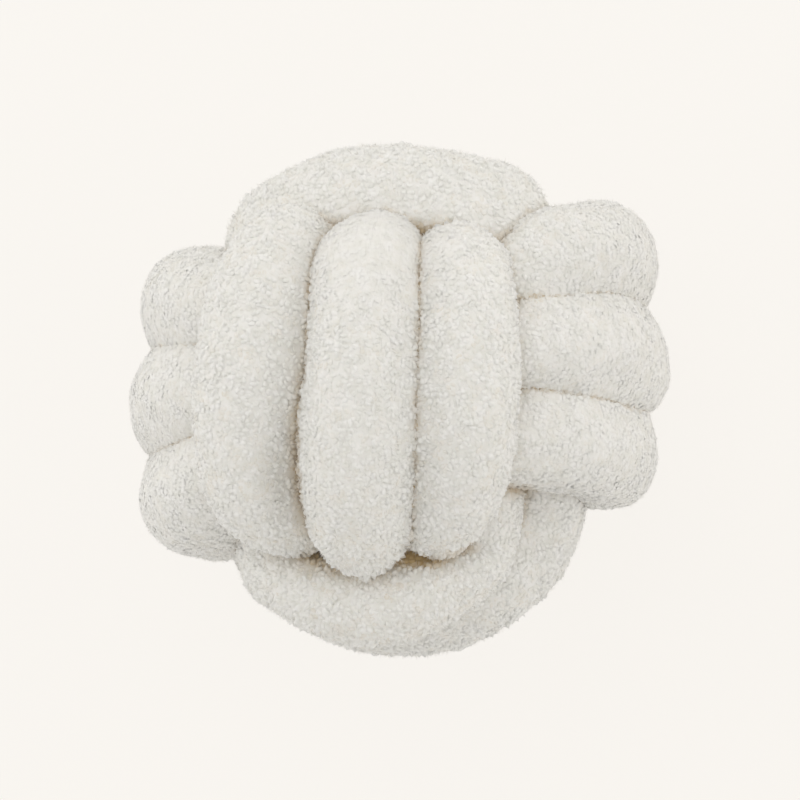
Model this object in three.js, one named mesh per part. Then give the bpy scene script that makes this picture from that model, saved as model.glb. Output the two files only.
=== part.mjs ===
// Knotted throw cushion: one long filled tube of looped fleece, tied into a ball of three turns
// each way, with both of its ends tucked into the middle.
//
// Millimetres, +Z up. The ball lies on its back, on the origin at the middle of its footprint.
// Three turns, the face turns, stand in planes across X and show on top and underneath. Three
// side turns stand in planes across Y and show on the left and right. Three end turns stand in
// planes across Z and show at the two ends, +Y and -Y. Each set passes outside one of the others
// and inside the other one, so every turn shows twice, as two passes, and is pressed narrow in
// the two links between them.

import * as THREE from "three";

// ---- Driving dimensions -----------------------------------------------------------------------

const LINK_RADIUS = 38; // how far a pressed link may swell towards the middle of the ball
const LINK_SHARE = 0.75; // how far out a link lies, as a share of the bulge of its pass's end
const CORNER_SHARE = 0.8; // the same for a corner, where the tube turns in past the next set
const CORNER_OUT = 38; // how far out of the ball's middle plane that corner lies
const LINK_DRAW = 0.585; // how near the turns of one set draw together in the links
const CORNER_DRAW = 0.7; // and at the corners
const BOW_SHARE = 0.5; // how much of a pass's bow its corners and links take up
const SHOULDER = 2.35; // how square a turn is: 2 is an ellipse, more is fuller at the shoulders
const TUBE_GAP = 1.6; // left between two stretches of the tube where they press together
const SOFTNESS = 6; // width over which a pressed face rounds off into the free surface
const FLOOR_PRESS = 8; // how much the resting passes are flattened underneath

const SECTIONS = 300; // sections along the tube
const SIDES = 16; // sides of each section
const FINE = 4; // points on the tube's line for each section, to measure its neighbours by

// ---- The three sets of turns ------------------------------------------------------------------

const X = new THREE.Vector3(1, 0, 0);
const Y = new THREE.Vector3(0, 1, 0);
const Z = new THREE.Vector3(0, 0, 1);

// One row for each pass, in the order in which the tube is tied.
// face: on which of the set's two faces it shows, +1 or -1. at: place across the set, at the
// middle of the pass. slant: how far it moves across on its way. reach: from the ball's middle to
// the middle of the tube. bow: how far its ends bend in across the set. from, to: how far out
// its two ends bulge. radius: of the tube where nothing presses on it.
const FACE_PASSES = [
  { face: +1, at: 52, slant: -14, reach: 101, bow: 16, from: 82, to: 74, radius: 28 },
  { face: -1, at: 40, slant: -20, reach: 104, bow: 3, from: 80, to: 80, radius: 29 },
  { face: +1, at: 2.5, slant: -9, reach: 106, bow: 0, from: 94, to: 97, radius: 32 },
  { face: -1, at: -13, slant: -20, reach: 104, bow: 0, from: 80, to: 80, radius: 30 },
  { face: +1, at: -53, slant: -10, reach: 102, bow: -10, from: 92, to: 78, radius: 29 },
  { face: -1, at: -64, slant: -16, reach: 104, bow: -3, from: 80, to: 80, radius: 29 },
];
const END_PASSES = [
  { face: -1, at: 53, slant: -6, reach: 99, bow: 0, from: 43, to: 66, radius: 27 },
  { face: +1, at: 41, slant: 8, reach: 99, bow: 0, from: 79, to: 97, radius: 30 },
  { face: -1, at: 6, slant: -8, reach: 105, bow: 0, from: 80, to: 72, radius: 29 },
  { face: +1, at: -14, slant: -8, reach: 98, bow: 0, from: 80, to: 80, radius: 29 },
  { face: -1, at: -46, slant: -8, reach: 100, bow: 0, from: 78, to: 76, radius: 29 },
  { face: +1, at: -66, slant: -6, reach: 92, bow: 0, from: 76, to: 76, radius: 28 },
];
const SIDE_PASSES = [
  { face: -1, at: -52, slant: 4, reach: 106, bow: 0, from: 80, to: 80, radius: 31 },
  { face: +1, at: -27, slant: -26, reach: 106, bow: 0, from: 80, to: 80, radius: 28 },
  { face: -1, at: 0, slant: 6, reach: 109, bow: 0, from: 80, to: 80, radius: 32 },
  { face: +1, at: 20, slant: -28, reach: 109, bow: 0, from: 80, to: 80, radius: 31 },
  { face: -1, at: 49, slant: 2, reach: 106, bow: 0, from: 80, to: 72, radius: 31 },
  { face: +1, at: 71, slant: -8, reach: 104, bow: 0, from: 64, to: 74, radius: 30 },
];

// out: the way a pass stands proud. along: the way it runs. across: from turn to turn.
// turn: +1 when the + face's passes run along the + way, -1 when they run back.
// gather: the place across the set that its turns draw in to.
const SETS = [
  { out: Z, along: Y, across: X, turn: -1, gather: 0, passes: FACE_PASSES },
  { out: Y, along: X, across: Z, turn: +1, gather: 0, passes: END_PASSES },
  { out: X, along: Z, across: Y, turn: -1, gather: 18, passes: SIDE_PASSES },
];

// ---- The line of the tube ---------------------------------------------------------------------

/** A point from its three distances along a set's own axes. */
function inSet(set, out, along, across) {
  return new THREE.Vector3()
    .addScaledVector(set.out, out)
    .addScaledVector(set.along, along)
    .addScaledVector(set.across, across);
}

/** The middle of the tube on a pass, at an angle of -90 (its first link) to 90 (its last). */
function passPoint(set, pass, degrees) {
  const angle = THREE.MathUtils.degToRad(degrees);
  const power = 2 / SHOULDER;
  const bulge = degrees < 0 ? -pass.from : pass.to;
  const out = pass.face * pass.reach * Math.pow(Math.cos(angle), power);
  const along = pass.face * set.turn * bulge * Math.pow(Math.abs(Math.sin(angle)), power);
  const inward = 1 - Math.cos(angle); // 0 at the middle of the pass, 1 at its links
  const place = pass.at + (pass.slant * Math.sin(angle)) / 2;
  const across = drawnIn(set, place, THREE.MathUtils.lerp(1, LINK_DRAW, inward * inward));
  return inSet(set, out, along, across - pass.bow * inward);
}

/** A place across a set when its turns have drawn together to a share of their spacing. */
function drawnIn(set, place, share) {
  return set.gather + (place - set.gather) * share;
}

const PASS_ANGLES = [-46, -28, -9, 9, 28, 46];

/** How far out, and which way, one end of a pass bulges: end is +1 for its last, -1 its first. */
function bulgeOf(set, pass, end) {
  return end * pass.face * set.turn * (end > 0 ? pass.to : pass.from);
}

/** Where a pass turns a corner of the ball, between the two sets that it lies against. */
function cornerPoint(set, pass, end) {
  const place = drawnIn(set, pass.at + (end * pass.slant) / 2, CORNER_DRAW);
  const across = place - pass.bow * BOW_SHARE;
  return inSet(set, pass.face * CORNER_OUT, bulgeOf(set, pass, end) * CORNER_SHARE, across);
}

/** Where the tube crosses inside another set, between two passes of its own set. */
function linkPoint(set, before, after) {
  const place = (before.at + before.slant / 2 + after.at - after.slant / 2) / 2;
  const bulge = (bulgeOf(set, before, 1) + bulgeOf(set, after, -1)) / 2;
  const bow = ((before.bow + after.bow) / 2) * BOW_SHARE;
  return inSet(set, 0, bulge * LINK_SHARE, drawnIn(set, place, LINK_DRAW) - bow);
}

// The two points of a dive. out: towards the pass's own face. share: of the bulge of its end.
// draw: of its place across the set.
const NEAR_DIVE = { out: 14, share: 0.63, draw: 1 };
const DEEP_DIVE = { out: -6, share: 0.32, draw: 0.6 };

/** Where the tube leaves a set for the middle of the ball, end +1, or comes from there, -1. */
function divePoints(set, pass, end) {
  const across = drawnIn(set, pass.at + (end * pass.slant) / 2, LINK_DRAW);
  const bulge = bulgeOf(set, pass, end);
  const [near, deep] = [NEAR_DIVE, DEEP_DIVE].map(({ out, share, draw }) =>
    inSet(set, pass.face * out, bulge * share, across * draw),
  );
  return end > 0 ? [near, deep] : [deep, near];
}

/** The points that the tied tube passes through, from one tucked end to the other. */
function routePoints() {
  return SETS.flatMap((set) => {
    const last = set.passes.length - 1;
    return set.passes.flatMap((pass, i) => [
      ...(i === 0 ? divePoints(set, pass, -1) : []),
      cornerPoint(set, pass, -1),
      ...PASS_ANGLES.map((degrees) => passPoint(set, pass, degrees)),
      cornerPoint(set, pass, 1),
      ...(i < last ? [linkPoint(set, pass, set.passes[i + 1])] : divePoints(set, pass, 1)),
    ]);
  });
}

const HELD_FROM = 84; // from here out from the middle planes the tube stays where it shows
const FREE_WITHIN = 62; // and within here it is free to shift

/** How free a point of the tube is to shift: 0 on the passes that show, 1 inside the ball. */
function freedom({ x, y, z }) {
  const out = Math.max(Math.abs(x), Math.abs(y), Math.abs(z));
  return 1 - THREE.MathUtils.smoothstep(out, FREE_WITHIN, HELD_FROM);
}

const LOOSE_POINTS = 450; // points on the line while it settles
const SETTLE_ROUNDS = 50;
const SETTLE_SPACING = 40; // stretches of the tube push each other apart when nearer than this
const SETTLE_PUSH = 0.1;
const SETTLE_SMOOTHING = 0.28;
const OWN_LENGTH = 75; // a stretch of the tube doesn't push on what lies nearer along it

/** Lets the hidden stretches find room between each other, as they do when the knot is drawn up. */
function settle(line, step) {
  const free = line.map(freedom);
  const own = Math.ceil(OWN_LENGTH / step);
  const gap = new THREE.Vector3();
  for (let round = 0; round < SETTLE_ROUNDS; round++) {
    const moves = line.map(() => new THREE.Vector3());
    for (let i = 0; i < line.length; i++) {
      for (let j = i + own; j < line.length; j++) {
        gap.subVectors(line[i], line[j]);
        const apart = gap.length();
        if (apart >= SETTLE_SPACING) continue;
        gap.multiplyScalar((SETTLE_PUSH * (SETTLE_SPACING - apart)) / Math.max(apart, 1));
        moves[i].add(gap);
        moves[j].sub(gap);
      }
    }
    for (let i = 1; i < line.length - 1; i++) {
      gap.addVectors(line[i - 1], line[i + 1]).multiplyScalar(0.5).sub(line[i]);
      moves[i].addScaledVector(gap, SETTLE_SMOOTHING);
    }
    line.forEach((point, i) => point.addScaledVector(moves[i], free[i]));
  }
  return line;
}

/** A smooth curve through points, measured finely along its length. */
function smoothCurve(points) {
  const curve = new THREE.CatmullRomCurve3(points, false, "centripetal");
  curve.arcLengthDivisions = 8000;
  return curve;
}

/** The middle line of the tied tube, as evenly spaced points: FINE of them to each section. */
function tubeLine() {
  const drawn = smoothCurve(routePoints());
  const loose = drawn.getSpacedPoints(LOOSE_POINTS);
  const settled = settle(loose, drawn.getLength() / LOOSE_POINTS);
  return smoothCurve(settled).getSpacedPoints((SECTIONS - 1) * FINE);
}

// ---- The skin of the tube ---------------------------------------------------------------------

const BEND_ROOM = 0.8; // how much of the way to the middle of its own bend the skin may reach
const NEIGHBOUR_REACH = 98; // stretches with their lines further apart than this never touch
const LEAD_LIMIT = 5; // how far the larger of two pressed tubes may push their shared face
const DEEP_WITHIN = 62; // the tube swells to fill the ball within this distance of its middle
const SHOWN_FROM = 94; // and has its own radius from here out

/** The smaller of two lengths, rounded off where they are nearly equal. */
function softMin(a, b, width) {
  const mix = Math.max(width - Math.abs(a - b), 0) / width;
  return Math.min(a, b) - (mix * mix * width) / 4;
}

/** The middle of every pass, with the radius of the tube there. */
function passMiddles() {
  return SETS.flatMap((set) =>
    set.passes.map((pass) => ({ middle: passPoint(set, pass, 0), radius: pass.radius })),
  );
}

/** How far the filled tube swells at each point of its line with nothing pressing on it. */
function freeRadii(line) {
  const passes = passMiddles();
  return line.map((point) => {
    const away = passes.map(({ middle }) => middle.distanceToSquared(point));
    const { radius } = passes[away.indexOf(Math.min(...away))];
    const deep = 1 - THREE.MathUtils.smoothstep(point.length(), DEEP_WITHIN, SHOWN_FROM);
    return THREE.MathUtils.lerp(radius, LINK_RADIUS, deep);
  });
}

/**
 * Unit vectors that turn with the line and never twist round it, with the line's own bend there:
 * a vector to the inside of the bend, as long as one over its radius.
 */
function frames(line) {
  const tangents = line.map((_, i) => {
    const ahead = line[Math.min(i + FINE, line.length - 1)];
    return new THREE.Vector3().subVectors(ahead, line[Math.max(i - FINE, 0)]).normalize();
  });
  const span = 2 * FINE * line[0].distanceTo(line[1]);
  const normal = new THREE.Vector3().crossVectors(tangents[0], X);
  if (normal.lengthSq() < 0.01) normal.crossVectors(tangents[0], Y);
  return tangents.map((tangent, i) => {
    normal.addScaledVector(tangent, -normal.dot(tangent)).normalize();
    const binormal = new THREE.Vector3().crossVectors(tangent, normal);
    const ahead = tangents[Math.min(i + FINE, tangents.length - 1)];
    const bend = new THREE.Vector3().subVectors(ahead, tangents[Math.max(i - FINE, 0)]);
    return { normal: normal.clone(), binormal, bend: bend.divideScalar(span) };
  });
}

/** The lengths from the line to the skin at one section, all the way round. */
function sectionRadii(line, radii, i, frame, own, floor) {
  const centre = line[i];
  const radius = radii[i];
  const near = [];
  line.forEach((other, j) => {
    if (Math.abs(j - i) < own) return;
    const gap = new THREE.Vector3().subVectors(other, centre);
    const apart = gap.length();
    if (apart > NEIGHBOUR_REACH) return;
    // The larger of two tubes keeps the more room, as long as each keeps some.
    const excess = (radius ** 2 - radii[j] ** 2) / (2 * apart);
    const lead = THREE.MathUtils.clamp(excess, -LEAD_LIMIT, LEAD_LIMIT);
    near.push({ gap, room: (apart - TUBE_GAP) / 2 + lead });
  });
  return Array.from({ length: SIDES }, (_, k) => {
    const angle = (2 * Math.PI * k) / SIDES;
    const way = new THREE.Vector3()
      .addScaledVector(frame.normal, Math.cos(angle))
      .addScaledVector(frame.binormal, Math.sin(angle));
    let pressed = Infinity;
    for (const { gap, room } of near) {
      const toward = gap.dot(way);
      if (toward > 0) pressed = Math.min(pressed, (room * gap.length()) / toward);
    }
    let reach = pressed < Infinity ? softMin(radius, pressed, SOFTNESS) : radius;
    const inside = frame.bend.dot(way);
    if (inside > 0) reach = Math.min(reach, BEND_ROOM / inside);
    if (way.z < 0) reach = Math.min(reach, (floor - centre.z) / way.z);
    return { way, reach };
  });
}

/** How far a point of the skin lies past the face where its tube presses on another stretch. */
function overstep(point, line, radii, near, at, own) {
  let mine = Infinity;
  let other = Infinity;
  let mineAt = at;
  let otherAt = at;
  for (const j of near) {
    const size = point.distanceToSquared(line[j]) - radii[j] ** 2;
    if (Math.abs(j - at) < own) {
      if (size < mine) [mine, mineAt] = [size, j];
    } else if (size < other) [other, otherAt] = [size, j];
  }
  if (other === Infinity) return 0;
  const apart = line[mineAt].distanceTo(line[otherAt]);
  return (mine - other) / (2 * apart) + TUBE_GAP / 2;
}

const EASE_ROUNDS = 12;
const EASE_FLOOR = 3; // the skin is never eased nearer to its line than this
const EASE_STEPS = [0, 0.25, 0.5, 0.75, 1];

/** The two triangles of the skin between a point of one ring and the next ring. */
function trianglePair(rings, r, k) {
  const next = (k + 1) % SIDES;
  const [a, b, c, d] = [rings[r][k], rings[r][next], rings[r + 1][next], rings[r + 1][k]];
  return [[a, b, c], [a, c, d]];
}

/** Eases in the skin wherever the flat of a triangle would cut into another stretch. */
function ease(rings, line, radii, own) {
  const shares = EASE_STEPS.flatMap((u) =>
    EASE_STEPS.filter((v) => u + v <= 1).map((v) => [u, v, 1 - u - v]),
  ).filter((share) => Math.max(...share) < 1);
  const near = rings.map((ring) => {
    const centre = line[ring[0].i];
    return [...line.keys()].filter((j) => line[j].distanceTo(centre) < NEIGHBOUR_REACH);
  });
  const place = (node) => line[node.i].clone().addScaledVector(node.way, node.reach);
  const point = new THREE.Vector3();
  for (let round = 0; round < EASE_ROUNDS; round++) {
    for (let r = 0; r + 1 < rings.length; r++) {
      for (const corners of rings[r].flatMap((_, k) => trianglePair(rings, r, k))) {
        const places = corners.map(place);
        for (const share of shares) {
          point.set(0, 0, 0);
          places.forEach((corner, c) => point.addScaledVector(corner, share[c]));
          const over = overstep(point, line, radii, near[r], corners[0].i, own);
          if (over <= 0) continue;
          corners.forEach((node, c) => {
            node.reach = Math.max(node.reach - over * share[c], EASE_FLOOR);
            places[c] = place(node);
          });
        }
      }
    }
  }
}

const SOFTEN_ROUNDS = 2;

/** Rounds off the ridges left across the tube by pressing. It only ever takes the skin in. */
function soften(rings) {
  for (let round = 0; round < SOFTEN_ROUNDS; round++) {
    const before = rings.map((ring) => ring.map((node) => node.reach));
    rings.slice(1, -1).forEach((ring, r) => {
      ring.forEach((node, k) => {
        const mean = (before[r][k] + before[r + 2][k]) / 2;
        node.reach = Math.min(node.reach, (node.reach + mean) / 2);
      });
    });
  }
}

const END_SECTIONS = 2; // the tube's two ends round off over this many sections
const END_SHARE = 0.6; // the last ring stands this share of a section in from the very end

/** How full a section is: 1 along the tube, less where its two ends round off. */
function fullness(section) {
  const fromEnd = Math.min(section, SECTIONS - 1 - section) + END_SHARE;
  return Math.sqrt(1 - Math.pow(Math.max(0, 1 - fromEnd / END_SECTIONS), 2));
}

/** The skin: rings of points round the line, closed at both ends by a point. */
function tubeSkin(line) {
  const own = Math.ceil(OWN_LENGTH / line[0].distanceTo(line[1]));
  const radii = freeRadii(line);
  const floor = Math.min(...line.map((point, i) => point.z - radii[i])) + FLOOR_PRESS;
  const allFrames = frames(line);
  const rings = Array.from({ length: SECTIONS }, (_, section) => {
    const i = section * FINE;
    return sectionRadii(line, radii, i, allFrames[i], own, floor).map((node) => ({ ...node, i }));
  });
  soften(rings);
  ease(rings, line, radii, own);
  const points = rings.flatMap((ring, section) =>
    ring.map(({ i, way, reach }) =>
      line[i].clone().addScaledVector(way, reach * fullness(section)),
    ),
  );
  const faces = [];
  for (let section = 0; section + 1 < SECTIONS; section++) {
    for (let k = 0; k < SIDES; k++) {
      const here = section * SIDES;
      const [a, b] = [here + k, here + ((k + 1) % SIDES)];
      faces.push(a, b, b + SIDES, a, b + SIDES, a + SIDES);
    }
  }
  for (const end of [0, SECTIONS - 1]) {
    points.push(line[end * FINE].clone());
    for (let k = 0; k < SIDES; k++) {
      const pair = [end * SIDES + k, end * SIDES + ((k + 1) % SIDES)];
      faces.push(points.length - 1, ...(end ? pair : pair.reverse()));
    }
  }
  return { points, faces };
}

/** Stands the ball on Z = 0 with the origin at the middle of its footprint. */
function seat(points) {
  const box = new THREE.Box3().setFromPoints(points);
  const middle = box.getCenter(new THREE.Vector3());
  points.forEach((point) => point.sub(new THREE.Vector3(middle.x, middle.y, box.min.z)));
}

/** The tied tube as one closed mesh. */
function knottedTube() {
  const { points, faces } = tubeSkin(tubeLine());
  seat(points);
  const geometry = new THREE.BufferGeometry().setFromPoints(points).setIndex(faces);
  geometry.computeVertexNormals();
  const fleece = new THREE.MeshStandardMaterial({
    color: new THREE.Color(0.86, 0.84, 0.8),
    roughness: 0.95,
    metalness: 0,
  });
  const mesh = new THREE.Mesh(geometry, fleece);
  mesh.name = "knotted_tube";
  return mesh;
}

const cushion = new THREE.Group();
cushion.add(knottedTube());

export default cushion;
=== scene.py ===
"""A knotted throw cushion: one long filled tube of looped ivory fleece, tied into a round ball.

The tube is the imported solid, rounded out and filled with air by a cloth simulation. Its pile is
made of many small bent loops that stand on every part of the cloth that shows, with finer loose
fibres that lie over them. Sizes are in metres.
"""

import logging
import math
from dataclasses import dataclass, field
from enum import Enum

import bpy
import numpy as np
from mathutils import Matrix, Vector, noise
from mathutils.bvhtree import BVHTree


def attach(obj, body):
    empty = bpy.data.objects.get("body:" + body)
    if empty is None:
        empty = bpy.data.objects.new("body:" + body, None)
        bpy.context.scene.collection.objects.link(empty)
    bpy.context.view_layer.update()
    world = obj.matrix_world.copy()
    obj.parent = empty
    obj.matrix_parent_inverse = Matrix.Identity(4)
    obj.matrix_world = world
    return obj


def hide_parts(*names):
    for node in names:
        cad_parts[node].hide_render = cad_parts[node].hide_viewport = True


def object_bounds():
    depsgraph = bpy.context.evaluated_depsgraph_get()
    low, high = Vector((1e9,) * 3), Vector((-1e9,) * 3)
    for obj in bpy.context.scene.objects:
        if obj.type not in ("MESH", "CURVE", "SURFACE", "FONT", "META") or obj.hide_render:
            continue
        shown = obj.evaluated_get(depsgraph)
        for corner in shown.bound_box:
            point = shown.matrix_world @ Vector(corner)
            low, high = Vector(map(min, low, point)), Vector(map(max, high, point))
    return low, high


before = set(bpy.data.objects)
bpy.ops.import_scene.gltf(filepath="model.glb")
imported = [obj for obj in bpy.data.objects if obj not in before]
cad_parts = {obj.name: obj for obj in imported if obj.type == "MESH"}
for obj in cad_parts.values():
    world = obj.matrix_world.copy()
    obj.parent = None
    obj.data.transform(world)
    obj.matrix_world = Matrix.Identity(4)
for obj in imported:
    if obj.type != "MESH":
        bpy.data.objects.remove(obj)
CAD_BOX = [list(corner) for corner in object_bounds()]
LOW, HIGH = (np.array(corner) for corner in CAD_BOX)
MIDDLE = (LOW + HIGH) / 2
TUBE_NODE = "knotted_tube"
FLEECE_SLOT = "looped_fleece"

MM = 0.001
SHADE_LAYER = "crease"  # the attribute of painted shade: how much of the warm crease colour the cloth gets, by how deep in a crease it lies

logging.basicConfig(level=logging.INFO, format="%(message)s")
log = logging.getLogger("cushion")


class Side(Enum):
    """The six sides of the ball, each with the way it faces."""

    FACE = (0, 0, 1)
    BACK = (0, 0, -1)
    RIGHT = (1, 0, 0)
    LEFT = (-1, 0, 0)
    UPPER_END = (0, 1, 0)
    LOWER_END = (0, -1, 0)


# ---- Help with meshes ----


def select_only(thing: bpy.types.Object) -> None:
    """Makes one object the active one and the only one selected.

    Args:
        thing: The object to select.
    """
    bpy.ops.object.select_all(action="DESELECT")
    thing.select_set(True)
    bpy.context.view_layer.objects.active = thing


def places_of(mesh: bpy.types.Mesh) -> np.ndarray:
    """Reads the places of a mesh's vertices.

    Args:
        mesh: The mesh to read.

    Returns:
        One row of x, y and z for each vertex, in metres.
    """
    flat = np.empty(len(mesh.vertices) * 3)
    mesh.vertices.foreach_get("co", flat)
    return flat.reshape(-1, 3)


def move_to(mesh: bpy.types.Mesh, places: np.ndarray) -> None:
    """Moves a mesh's vertices to new places.

    Args:
        mesh: The mesh to change.
        places: One row for each vertex.
    """
    mesh.vertices.foreach_set("co", places.ravel())
    mesh.update()


def normals_of(mesh: bpy.types.Mesh) -> np.ndarray:
    """Reads the way that each vertex of a mesh faces.

    Args:
        mesh: The mesh to read.

    Returns:
        One unit vector for each vertex.
    """
    flat = np.empty(len(mesh.vertices) * 3)
    mesh.vertex_normals.foreach_get("vector", flat)
    return flat.reshape(-1, 3)


def edges_of(mesh: bpy.types.Mesh) -> np.ndarray:
    """Reads which two vertices each edge of a mesh joins.

    Args:
        mesh: The mesh to read.

    Returns:
        One row of two vertex numbers for each edge.
    """
    flat = np.empty(len(mesh.edges) * 2, int)
    mesh.edges.foreach_get("vertices", flat)
    return flat.reshape(-1, 2)


def evened(values: np.ndarray, edges: np.ndarray, rounds: int) -> np.ndarray:
    """Evens out values over a mesh, each towards the mean of its neighbours.

    Args:
        values: A number or a vector for each vertex.
        edges: The mesh's edges.
        rounds: How many times each value moves halfway to its neighbours' mean.

    Returns:
        The evened values.
    """
    table = values.reshape(len(values), -1)
    count = np.bincount(edges.ravel(), minlength=len(table))[:, None]
    for _ in range(rounds):
        total = np.stack(
            [
                np.bincount(edges[:, 0], column[edges[:, 1]], len(table))
                + np.bincount(edges[:, 1], column[edges[:, 0]], len(table))
                for column in table.T
            ],
            axis=1,
        )
        table = (table + total / count) / 2
    return table.reshape(values.shape)


def unit(vectors: np.ndarray) -> np.ndarray:
    """Scales vectors to a length of one.

    Args:
        vectors: One vector in each row.

    Returns:
        The unit vectors.
    """
    return vectors / np.maximum(np.linalg.norm(vectors, axis=-1, keepdims=True), 1e-12)


# ---- Finishes ----


@dataclass(frozen=True)
class FleeceFinish:
    """Matt looped fleece, ivory and a little uneven from loop to loop, with painted shade, a warm
    brown, mixed into its colour in its creases.
    """

    name: str
    ivory: tuple[float, float, float] = (0.89, 0.875, 0.842)
    cream: tuple[float, float, float] = (0.848, 0.836, 0.79)
    # the warm brown painted into the creases as shade
    crease: tuple[float, float, float] = (0.58, 0.425, 0.22)
    roughness: float = 0.95
    specular: float = 0.15
    sheen: float = 0.6
    sheen_roughness: float = 0.45
    loop_scale: float = 190.0
    loop_detail: float = 2.0
    cream_below: float = 0.38  # of the noise that mixes the two colours
    ivory_above: float = 0.62
    fibre_scale: float = 1400.0
    fibre_detail: float = 3.0
    fibre_depth: float = 0.4 * MM
    fibre_strength: float = 0.12

    def material(self) -> bpy.types.Material:
        """Builds the finish as a node material.

        Returns:
            The new material.
        """
        made = bpy.data.materials.new(self.name)
        made.use_nodes = True
        tree = made.node_tree
        shader = tree.nodes["Principled BSDF"]
        shader.inputs["Roughness"].default_value = self.roughness
        shader.inputs["Sheen Weight"].default_value = self.sheen
        shader.inputs["Sheen Roughness"].default_value = self.sheen_roughness
        shader.inputs["Specular IOR Level"].default_value = self.specular
        place = tree.nodes.new("ShaderNodeTexCoord").outputs["Object"]

        blotches = self._noise(tree, place, self.loop_scale, self.loop_detail)
        ramp = tree.nodes.new("ShaderNodeValToRGB")
        ramp.color_ramp.elements[0].position = self.cream_below
        ramp.color_ramp.elements[0].color = (*self.cream, 1)
        ramp.color_ramp.elements[1].position = self.ivory_above
        ramp.color_ramp.elements[1].color = (*self.ivory, 1)
        tree.links.new(blotches, ramp.inputs["Fac"])

        # Painted shade: the crease attribute mixes the colour towards warm brown where the cloth
        # lies deep in a crease.
        depth = tree.nodes.new("ShaderNodeAttribute")
        depth.attribute_name = SHADE_LAYER
        mix = tree.nodes.new("ShaderNodeMix")
        mix.data_type = "RGBA"
        tree.links.new(depth.outputs["Fac"], mix.inputs["Factor"])
        tree.links.new(ramp.outputs["Color"], mix.inputs["A"])
        mix.inputs["B"].default_value = (*self.crease, 1)
        tree.links.new(mix.outputs["Result"], shader.inputs["Base Color"])

        fibres = self._noise(tree, place, self.fibre_scale, self.fibre_detail)
        bump = tree.nodes.new("ShaderNodeBump")
        bump.inputs["Strength"].default_value = self.fibre_strength
        bump.inputs["Distance"].default_value = self.fibre_depth
        tree.links.new(fibres, bump.inputs["Height"])
        tree.links.new(bump.outputs["Normal"], shader.inputs["Normal"])
        return made

    @staticmethod
    def _noise(
        tree: bpy.types.NodeTree, place: bpy.types.NodeSocket, scale: float, detail: float
    ) -> bpy.types.NodeSocket:
        """Adds a noise texture.

        Args:
            tree: The material's nodes.
            place: Where the texture reads its place from.
            scale: How many features there are to a metre.
            detail: How many finer layers lie over them.

        Returns:
            The noise's value.
        """
        texture = tree.nodes.new("ShaderNodeTexNoise")
        texture.inputs["Scale"].default_value = scale
        texture.inputs["Detail"].default_value = detail
        tree.links.new(place, texture.inputs["Vector"])
        return texture.outputs["Fac"]


@dataclass(frozen=True)
class PaperFinish:
    """The pale floor: lit paper, plain cream, that keeps only a trace of any shadow."""

    name: str = "cream_paper"
    cream: tuple[float, float, float] = (0.960, 0.931, 0.888)
    glow: float = 0.85

    def material(self) -> bpy.types.Material:
        """Builds the finish as a node material.

        Returns:
            The new material.
        """
        made = bpy.data.materials.new(self.name)
        made.use_nodes = True
        shader = made.node_tree.nodes["Principled BSDF"]
        rest = 1 - self.glow
        shader.inputs["Base Color"].default_value = (*(c * rest for c in self.cream), 1)
        shader.inputs["Roughness"].default_value = 1.0
        shader.inputs["Specular IOR Level"].default_value = 0.0
        shader.inputs["Emission Color"].default_value = (*self.cream, 1)
        shader.inputs["Emission Strength"].default_value = self.glow
        return made


# ---- The filled tube ----


@dataclass(frozen=True)
class Filling:
    """How one stretch of the tube presses on its neighbours, where it differs from the rest."""

    name: str
    first: float  # where it begins and ends, as shares of the tube's length
    last: float
    reach: float  # how near a neighbour must be for the stretch to swell towards it
    swell: float  # how much of the way it swells, 1 for an even share
    bite: float  # how far its pile meshes with the neighbour's, or below 0 how far it stays off


@dataclass(frozen=True)
class Bulge:
    """A place where one stretch of the tube stands out or lies back from its even round form."""

    name: str
    first: float  # where the stretch begins and ends, as shares of the tube's length
    last: float
    place: tuple[float, float, float]
    reach: tuple[float, float, float]  # how far round the place it fades out
    shift: tuple[float, float, float]  # how far the cloth moves at the place itself


FILLINGS = (
    Filling("face, right", 0.008, 0.048, reach=0.010, swell=0.8, bite=0.0045),
    Filling("face, middle", 0.116, 0.158, reach=0.010, swell=1.2, bite=0.0015),
    Filling("face, left", 0.222, 0.264, reach=0.010, swell=0.9, bite=0.001),
    Filling("lower end, front", 0.356, 0.390, reach=0.007, swell=1.0, bite=0.001),
    Filling("upper end, front", 0.402, 0.440, reach=0.026, swell=1.4, bite=0.004),
)
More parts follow.
